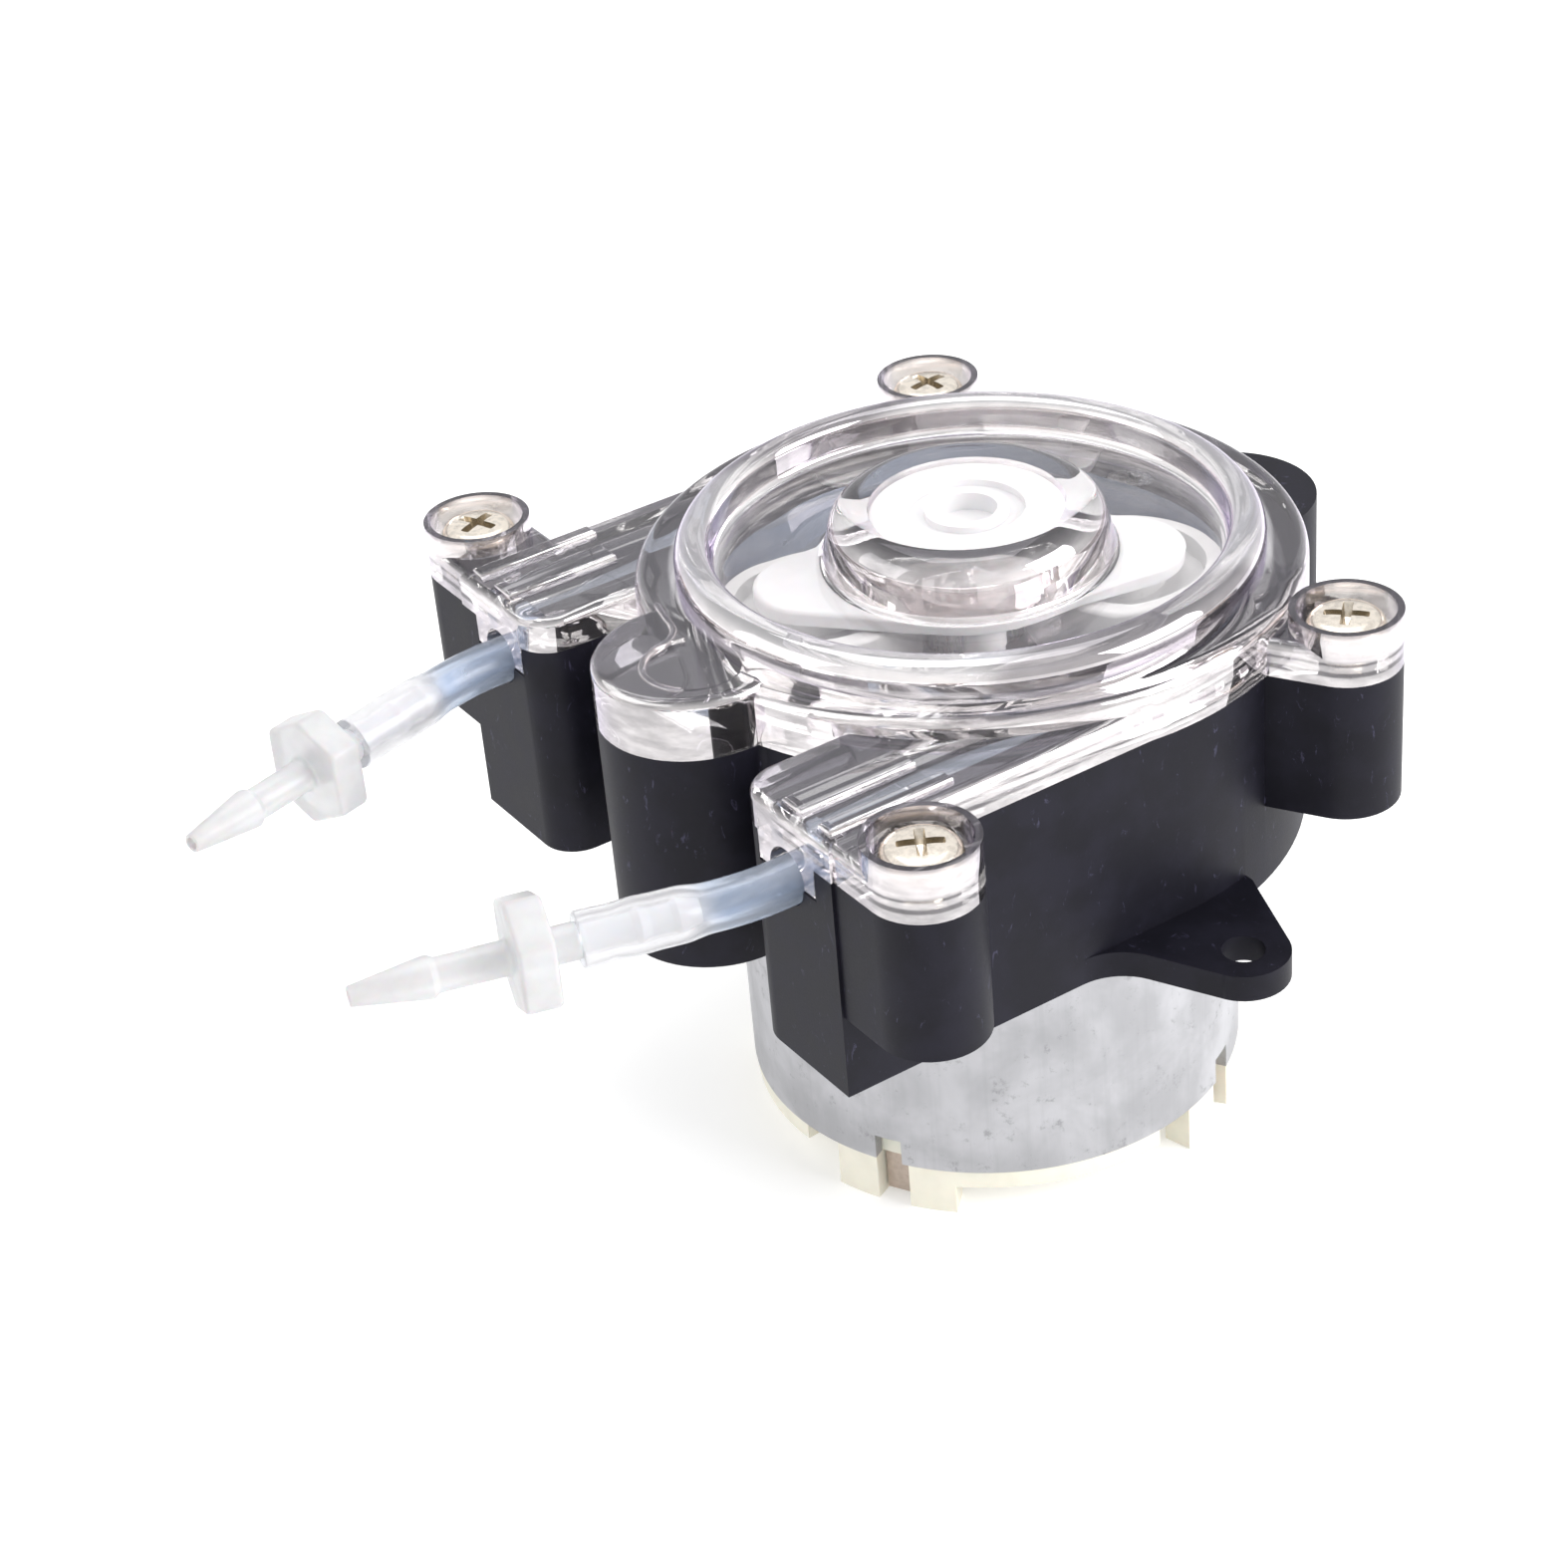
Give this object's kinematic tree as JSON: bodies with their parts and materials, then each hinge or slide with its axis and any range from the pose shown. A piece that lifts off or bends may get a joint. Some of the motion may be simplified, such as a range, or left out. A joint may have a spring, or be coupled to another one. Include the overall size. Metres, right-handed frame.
{
  "type": "peristaltic dosing pump",
  "caption": "Round pump head with a clear cover, two pressing rollers, a looped silicone tube with barbed connectors and a short brushed motor.",
  "frame": {"origin": "on the pump's axis, level with the underside of the two screw ears, midway between their holes", "axes": "+Z along the pump's axis from motor to cover; the tubes leave towards -Y; the ears lie along X"},
  "size_m": [0.0788, 0.1046, 0.0597],
  "materials": {
    "housing_plastic": "fine moulded grain, slightly bluish black",
    "clear_plastic": "clear moulded plastic with a faint pink tint",
    "screw_nickel": "warm nickel plate",
    "silicone": "translucent milky silicone",
    "connector_plastic": "translucent white moulding",
    "rotor_plastic": "white acetal",
    "roller_plastic": "smooth white acetal",
    "washer_plastic": "plain nylon",
    "steel": "ground steel",
    "zinc_steel": "mottled zinc plate",
    "core_steel": "stacked laminations",
    "copper_wire": "enamelled copper wire",
    "commutator_copper": "turned copper bars",
    "terminal_copper": "bare copper alloy strip",
    "bronze": "oiled sintered bronze",
    "ferrite": "ground ferrite",
    "ivory_plastic": "ivory moulding",
    "carbon": "pressed carbon"
  },
  "bodies": {
    "pump_body": {"pump_housing": "housing_plastic", "clear_cover": "clear_plastic", "cover_screws": "screw_nickel", "pump_tube": "silicone", "tube_connector_left": "connector_plastic", "tube_connector_right": "connector_plastic", "motor_can": "zinc_steel", "motor_screws": "steel", "motor_magnets": "ferrite", "motor_end_cap": "ivory_plastic", "motor_terminals": "terminal_copper", "carbon_brushes": "carbon", "brush_arms": "terminal_copper", "front_bearing": "bronze", "rear_bearing": "bronze"},
    "armature": {"motor_shaft": "steel", "drive_sleeve": "steel", "armature_core": "core_steel", "armature_windings": "copper_wire", "commutator": "commutator_copper", "shaft_spacers": "washer_plastic"},
    "rotor": {"carrier_base": "rotor_plastic", "carrier_screws": "steel", "rotor_bar": "rotor_plastic", "roller_pins": "steel", "roller_washers": "washer_plastic"},
    "roller_a": {"roller_1": "roller_plastic", "roller_bush_1": "bronze"},
    "roller_b": {"roller_2": "roller_plastic", "roller_bush_2": "bronze"}
  },
  "joints": [
    {"name": "motor_spin", "type": "hinge", "parent": "pump_body", "child": "armature", "pos_m": [0, 0, 0], "axis": [0, 0, 1], "continuous": true},
    {"name": "rotor_spin", "type": "hinge", "parent": "pump_body", "child": "rotor", "pos_m": [0, 0, 0.0127], "axis": [0, 0, 1], "continuous": true},
    {"name": "roller_a_spin", "type": "hinge", "parent": "rotor", "child": "roller_a", "pos_m": [0.00641, 0.01176, 0.0173], "axis": [0, 0, 1], "continuous": true},
    {"name": "roller_b_spin", "type": "hinge", "parent": "rotor", "child": "roller_b", "pos_m": [-0.00641, -0.01176, 0.0173], "axis": [0, 0, 1], "continuous": true}
  ],
  "couplings": [
    {"joint": "rotor_spin", "follows": "motor_spin", "ratio": 0.16418},
    {"joint": "roller_a_spin", "follows": "motor_spin", "ratio": -0.40862},
    {"joint": "roller_b_spin", "follows": "motor_spin", "ratio": -0.40862}
  ]
}
